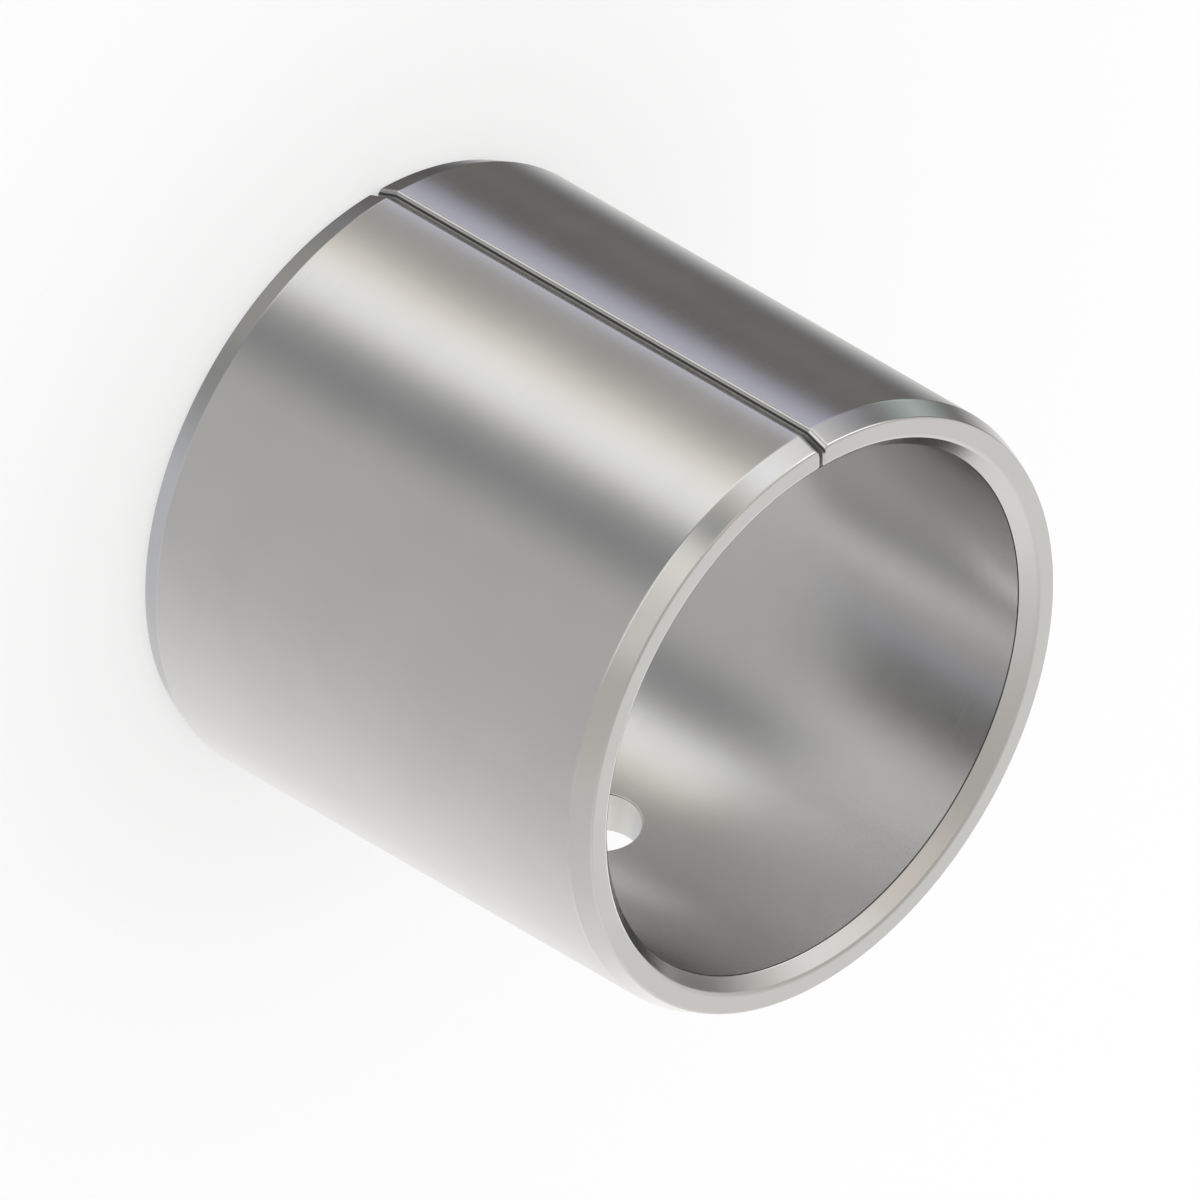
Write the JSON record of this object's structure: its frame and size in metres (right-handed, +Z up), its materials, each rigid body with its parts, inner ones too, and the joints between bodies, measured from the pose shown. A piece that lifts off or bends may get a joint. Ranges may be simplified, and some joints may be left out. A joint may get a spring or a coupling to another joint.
{
  "type": "split bushing",
  "caption": "Plain sliding sleeve rolled from steel strip, with a straight butt joint along its length, chamfered ends and a lubrication hole opposite the joint.",
  "frame": {"origin": "centre of the lower end face, on the bore's axis", "axes": "+Z up the bore, -Y towards the butt joint, the lubrication hole towards +Y"},
  "size_m": [0.03, 0.03, 0.0282],
  "materials": {
    "sleeve": "smooth satin steel, soft blurred reflections"
  },
  "bodies": {
    "root": {"sleeve": "sleeve"}
  },
  "joints": []
}
